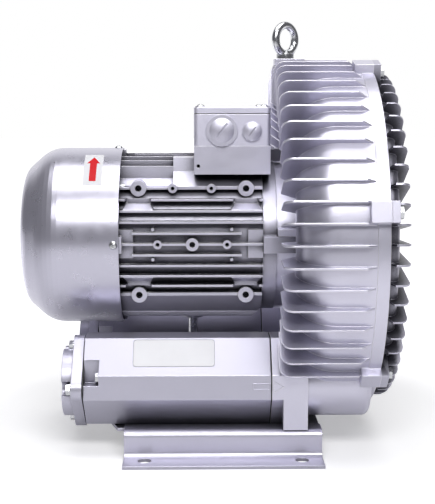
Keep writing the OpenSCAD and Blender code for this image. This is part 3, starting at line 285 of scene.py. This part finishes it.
def fibre_wool(name):
    """The absorber's matted fibres."""
    t = material_tree(name)
    strands = t.noise(800.0, 6.0, 0.75)
    tone = t.blend(t.spread(strands, 0.3, 0.7), (0.12, 0.11, 0.09), (0.36, 0.34, 0.29))
    return t.finish(tone, 0.95, t.bump(strands, 1.0, 0.001))


def stacked_sheets(name):
    """A core stacked from thin sheets along the motor axis."""
    t = material_tree(name)
    wave = t.add("ShaderNodeTexWave", wave_type="BANDS", bands_direction="X", Scale=160.0, Distortion=0.6)
    t.link(t.place(), wave.inputs["Vector"])
    tone = t.blend(wave.outputs["Fac"], (0.10, 0.10, 0.11), (0.25, 0.25, 0.27))
    return t.finish(tone, 0.5, t.bump(wave.outputs["Fac"], 0.6, 0.0002), Metallic=0.7)


def copper_winding(name):
    """Varnished copper wire."""
    t = material_tree(name)
    strands = t.noise(500.0, 4.0, 0.6)
    tone = t.blend(t.spread(strands, 0.3, 0.7), (0.22, 0.08, 0.02), (0.55, 0.24, 0.09))
    return t.finish(tone, 0.3, t.bump(strands, 0.8, 0.0006), Metallic=0.6)


def brass(name):
    """Slightly tarnished brass."""
    t = material_tree(name)
    tarnish = t.spread(t.noise(80.0, 4.0), 0.35, 0.65)
    tone = t.blend(tarnish, (0.46, 0.33, 0.12), (0.72, 0.55, 0.25))
    return t.finish(tone, 0.28, t.bump(t.noise(700.0), 0.2, 0.00005), Metallic=1.0)


# One silver paint in three copies: the first as it is, the second painted lighter and the third painted
# darker. This is painted light and shade that evens out how bright the parts come out under the lamps.
SILVER = (0.60, 0.588, 0.685)
LIT_SILVER = (0.68, 0.667, 0.775)
SHADED_SILVER = (0.54, 0.53, 0.62)

# How each material slot of the record looks: what makes it, and with which values
SLOT_LOOKS = {
    "cast_silver": (silver_paint, dict(color=LIT_SILVER, roughness=0.35, grain=0.5, gaps=0.4)),
    "silencer_silver": (silver_paint, dict(color=SHADED_SILVER, roughness=0.36, grain=0.3, gaps=0.3,
                                           shut=(0.1, 0.7))),
    "cowl_silver": (silver_paint, dict(color=SILVER, roughness=0.29, grain=0.05)),
    "base_silver": (silver_paint, dict(color=SILVER, roughness=0.4, grain=0.12, gaps=0.12,
                                       shut=(0.2, 0.6))),
    "box_silver": (silver_paint, dict(color=LIT_SILVER, roughness=0.5, grain=1.0)),
    "plug_silver": (silver_paint, dict(color=SILVER, roughness=0.45, grain=0.2, edge=0.0006)),
    "inner_cast": (raw_casting, dict(color=(0.55, 0.56, 0.58))),
    "impeller_cast": (raw_casting, dict(color=(0.6, 0.6, 0.62))),
    "zinc_steel": (zinc_plate, dict(color=(0.70, 0.71, 0.73), roughness=0.24)),
    "eye_steel": (zinc_plate, dict(color=(0.72, 0.73, 0.75), roughness=0.2)),
    "bright_steel": (turned_steel, dict(color=(0.66, 0.66, 0.67))),
    "rubber_seal": (rubber, {}),
    "absorber_foam": (fibre_wool, {}),
    "core_steel": (stacked_sheets, {}),
    "winding_copper": (copper_winding, {}),
    "board_plastic": (moulded_plastic, dict(color=(0.10, 0.05, 0.03))),
    "stud_brass": (brass, {}),
    "fan_plastic": (moulded_plastic, dict(color=(0.02, 0.02, 0.022))),
}
MATERIALS = {name: make(name, **values) for name, (make, values) in SLOT_LOOKS.items()}


def dress_nodes():
    """Gives every node its slot's material; finned and closed-in castings get one of their own, each with
    its own strength of painted shade deep between fins.
    """
    frame_silver = silver_paint("frame_silver", LIT_SILVER, roughness=0.4, grain=0.4, gaps=0.04,
                                shut=(0.2, 0.8), edge=0.0005)
    shield_silver = silver_paint("shield_silver", SILVER, roughness=0.4, grain=0.5, gaps=0.08,
                                 shut=(0.35, 0.95))
    flange_silver = silver_paint("flange_silver", SHADED_SILVER, roughness=0.4, grain=0.4, gaps=0.3,
                                 shut=(0.2, 0.8))
    cover_silver = silver_paint("cover_silver", SILVER, roughness=0.4, grain=0.5, gaps=0.1,
                                shut=(0.35, 0.95), edge=0.0006)
    own = {
        "motor_frame": frame_silver,
        "drive_end_shield": shield_silver,
        "front_port_flange": flange_silver,
        "rear_port_flange": flange_silver,
        "blower_cover": cover_silver,
    }
    for part in frame["record"]["subparts"]:
        node = NODES[part["node"]]
        for slot in node.material_slots:
            slot.material = own.get(part["node"], MATERIALS[part["material_slot"]])


# Floor, light and background

FLOOR_REACH = 12.0
FLOOR_COLOR = (0.86, 0.86, 0.87, 1.0)
ROOM_COLOR = (0.94, 0.94, 1.0, 1.0)
ROOM_STRENGTH = 0.14
WHITE = (1.0, 1.0, 1.0, 1.0)


def stage_material():
    """A pale floor that the camera sees as white apart from the object's shadow."""
    t = material_tree("stage_floor")
    diffuse = t.add("ShaderNodeBsdfDiffuse", Color=FLOOR_COLOR)
    away = t.add("ShaderNodeVectorMath", operation="LENGTH")
    t.link(t.place(), away.inputs[0])
    glow = t.add("ShaderNodeEmission")
    t.link(t.spread(away.outputs["Value"], 0.32, 0.8, 0.38, 1.0), glow.inputs["Strength"])
    both = t.add("ShaderNodeAddShader")
    t.link(diffuse.outputs[0], both.inputs[0])
    t.link(glow.outputs[0], both.inputs[1])
    behind = t.spread(t.along_y(t.place()), -0.1, 0.4)
    t.show_either(t.sees_white(behind), diffuse, both)
    return t.owner


def make_floor():
    mesh = bpy.data.meshes.new("stage_floor")
    corners = [(x * FLOOR_REACH, y * FLOOR_REACH, 0.0) for x, y in ((-1, -1), (1, -1), (1, 1), (-1, 1))]
    mesh.from_pydata(corners, [], [(0, 1, 2, 3)])
    floor = bpy.data.objects.new("stage_floor", mesh)
    bpy.context.collection.objects.link(floor)
    floor.data.materials.append(stage_material())


def make_world():
    """A studio: white behind the object, darker in front and at the sides."""
    world = bpy.data.worlds.new("studio")
    bpy.context.scene.world = world
    t = Tree(world, "ShaderNodeOutputWorld")
    room = t.add("ShaderNodeBackground", Color=ROOM_COLOR, Strength=ROOM_STRENGTH)
    white = t.add("ShaderNodeBackground", Color=WHITE)
    direction = t.add("ShaderNodeTexCoord").outputs["Generated"]
    behind = t.spread(t.along_y(direction), 0.5, 0.8)
    t.show_either(t.sees_white(behind), room, white)


def softbox(name, place, size, power):
    """A rectangular lamp that faces the middle of the object."""
    data = bpy.data.lights.new(name, "AREA")
    data.shape = "RECTANGLE"
    data.size, data.size_y = size
    data.energy = power
    light = bpy.data.objects.new(name, data)
    light.location = place
    aim = Vector((0.0, 0.0, 0.22)) - Vector(place)
    light.rotation_euler = aim.to_track_quat("-Z", "Y").to_euler()
    bpy.context.collection.objects.link(light)


def make_lights():
    softbox("top_box", place=(0.0, -0.15, 1.7), size=(1.5, 1.0), power=16.5)
    softbox("front_box", place=(0.1, -1.6, 1.45), size=(1.3, 0.6), power=24.5)


# Mesh helpers

def new_piece(name, bm, material, body="blower_body"):
    """Makes an object from a bmesh, with its material and body."""
    bmesh.ops.recalc_face_normals(bm, faces=bm.faces)
    mesh = bpy.data.meshes.new(name)
    bm.to_mesh(mesh)
    bm.free()
    mesh.materials.append(material)
    piece = bpy.data.objects.new(name, mesh)
    bpy.context.collection.objects.link(piece)
    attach(piece, body)


def bridge(bm, first, second):
    """Adds a band of faces between two closed rings of vertices."""
    for k in range(len(first)):
        n = (k + 1) % len(first)
        bm.faces.new((first[k], first[n], second[n], second[k]))


def plate(bm, outline, place, thickness):
    """Adds a thin plate: outline points (u, v) go through place(u, v, height)."""
    low = [bm.verts.new(place(u, v, 0.0)) for u, v in outline]
    high = [bm.verts.new(place(u, v, thickness)) for u, v in outline]
    bm.faces.new(low)
    bm.faces.new(high)
    bridge(bm, low, high)


def raised_line(bm, outer, inner, place, thickness):
    """Adds a raised line between an outer and an inner outline with the same number of points."""
    rings = []
    for outline in (outer, inner):
        for height in (0.0, thickness):
            rings.append([bm.verts.new(place(u, v, height)) for u, v in outline])
    outer_low, outer_high, inner_low, inner_high = rings
    bridge(bm, outer_low, outer_high)
    bridge(bm, outer_high, inner_high)
    bridge(bm, inner_high, inner_low)
    bridge(bm, inner_low, outer_low)


def steps(low, high, count):
    return [low + (high - low) * k / count for k in range(count + 1)]


# Turning arrow on the cowl: angles are in degrees above the near side

SIGN_WHITE = sign_film("sign_white", (0.66, 0.66, 0.69))
LABEL_WHITE = sign_film("label_white", (0.77, 0.77, 0.80))
SIGN_GREY = sign_film("sign_grey", (0.30, 0.30, 0.33))
SIGN_RED = sign_film("sign_red", (0.55, 0.0, 0.006))

AXIS_Z = 0.250
COWL_R = (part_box("fan_cowl")[1][1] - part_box("fan_cowl")[0][1]) / 2
ARROW_X = -0.1560
ARROW_LOW = 42.0
ARROW_NECK = 58.0
ARROW_TIP = 65.0
STEM_HALF = 0.0042
HEAD_HALF = 0.0080
TIP_HALF = 0.0002
BACKING_HALF = 0.0115
FILM = 0.00008


def on_cowl(x, angle, height):
    """A point on the round cowl: place along the axis, angle above the near side, height off the sheet."""
    r = COWL_R + height
    return (x, -r * math.cos(angle), AXIS_Z + r * math.sin(angle))


def cowl_strip(name, rows, material, lift):
    """A thin sign that follows the cowl: rows are (angle in degrees, half width)."""
    bm = bmesh.new()
    last = None
    for angle, half in rows:
        a = math.radians(angle)
        x0 = ARROW_X - half
        x1 = ARROW_X + half
        corners = ((x0, 0), (x1, 0), (x1, FILM), (x0, FILM))
        ring = [bm.verts.new(on_cowl(x, a, lift + height)) for x, height in corners]
        if last is None:
            bm.faces.new(ring)
        else:
            bridge(bm, last, ring)
        last = ring
    bm.faces.new(last)
    new_piece(name, bm, material)


def turning_arrow():
    backing = [(angle, BACKING_HALF) for angle in steps(ARROW_LOW - 3, ARROW_TIP + 4, 14)]
    cowl_strip("turn_arrow_backing", backing, SIGN_WHITE, 0.00002)
    stem = [(angle, STEM_HALF) for angle in steps(ARROW_LOW, ARROW_NECK, 8)]
    head = list(zip(steps(ARROW_NECK, ARROW_TIP, 6), steps(HEAD_HALF, TIP_HALF, 6)))
    cowl_strip("turn_arrow", stem + head, SIGN_RED, 0.00012)


# Bare label and cast flow arrow on the front silencer

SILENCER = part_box("front_silencer")
SIDE_Y = SILENCER[0][1]
SILENCER_TOP = SILENCER[1][2]
SILENCER_MID_Z = (SILENCER[0][2] + SILENCER[1][2]) / 2
SILENCER_MID_Y = (SILENCER[0][1] + SILENCER[1][1]) / 2
FACET_TOP_Y = SILENCER_MID_Y - 0.0175
FACET_LOW_Z = SILENCER_MID_Z + 0.0145

# The label runs along x in metres and down the slanted face in shares of its width
LABEL_X0 = -0.1062
LABEL_X1 = -0.0096
LABEL_TOP = 0.04
LABEL_LOW = 0.76
LABEL_ROUND_X = 0.0035
LABEL_ROUND_DOWN = 0.07

FLOW_LINE = 0.0009
FLOW_HEIGHT = 0.0006


def on_side(x, z, height):
    return (x, SIDE_Y - height, z)


def on_facet(x, down, height):
    """A point on the slanted upper face: down runs from 0 at its top edge to 1 at its bottom edge."""
    edge = Vector((0.0, SIDE_Y - FACET_TOP_Y, FACET_LOW_Z - SILENCER_TOP))
    normal = Vector((0.0, edge.z, -edge.y)).normalized()
    top = Vector((x, FACET_TOP_Y, SILENCER_TOP))
    return tuple(top + edge * down + normal * height)


def bare_label():
    """A label with rounded corners and nothing on it, and the grey line round it."""
    left = LABEL_X0 + LABEL_ROUND_X
    right = LABEL_X1 - LABEL_ROUND_X
    top = LABEL_TOP + LABEL_ROUND_DOWN
    low = LABEL_LOW - LABEL_ROUND_DOWN
    outline = []
    for x, down, start in ((right, low, 0), (left, low, 90), (left, top, 180), (right, top, 270)):
        for k in range(5):
            a = math.radians(start + 22.5 * k)
            outline.append((x + LABEL_ROUND_X * math.cos(a), down + LABEL_ROUND_DOWN * math.sin(a)))
    bm = bmesh.new()
    plate(bm, outline, on_facet, 0.00012)
    new_piece("bare_label", bm, LABEL_WHITE)
    mid_x = (LABEL_X0 + LABEL_X1) / 2
    mid_down = (LABEL_TOP + LABEL_LOW) / 2
    inner = [(mid_x + (x - mid_x) * 0.988, mid_down + (down - mid_down) * 0.965) for x, down in outline]
    bm = bmesh.new()
    raised_line(bm, outline, inner, on_facet, 0.0002)
    new_piece("bare_label_border", bm, SIGN_GREY)


def flow_arrow():
    """A raised arrow in outline: its tail on the silencer and its head on the housing's duct."""
    x0, x1, z0, z1 = 0.0350, SILENCER[1][0] - 0.0004, 0.0842, 0.0918
    in_x0, in_x1, in_z0, in_z1 = x0 + FLOW_LINE, x1 - FLOW_LINE, z0 + FLOW_LINE, z1 - FLOW_LINE
    outer = [(x0, z0), (x1, z0), (x1, z1), (x0, z1)]
    inner = [(in_x0, in_z0), (in_x1, in_z0), (in_x1, in_z1), (in_x0, in_z1)]
    bm = bmesh.new()
    raised_line(bm, outer, inner, on_side, FLOW_HEIGHT)
    new_piece("flow_arrow_tail", bm, MATERIALS["silencer_silver"])
    base, tip, mid, half = 0.0590, 0.0722, 0.0872, 0.0076
    in_base, in_tip = base + FLOW_LINE, tip - 2.4 * FLOW_LINE
    in_low, in_high = mid - half + 2.2 * FLOW_LINE, mid + half - 2.2 * FLOW_LINE
    outer = [(base, mid - half), (tip, mid), (base, mid + half)]
    inner = [(in_base, in_low), (in_tip, mid), (in_base, in_high)]
    bm = bmesh.new()
    raised_line(bm, outer, inner, on_side, FLOW_HEIGHT)
    new_piece("flow_arrow_head", bm, MATERIALS["cast_silver"])


def plain(box):
    return [list(map(float, corner)) for corner in box]


make_camera()
make_world()
make_floor()
make_lights()
dress_nodes()
turning_arrow()
bare_label()
flow_arrow()
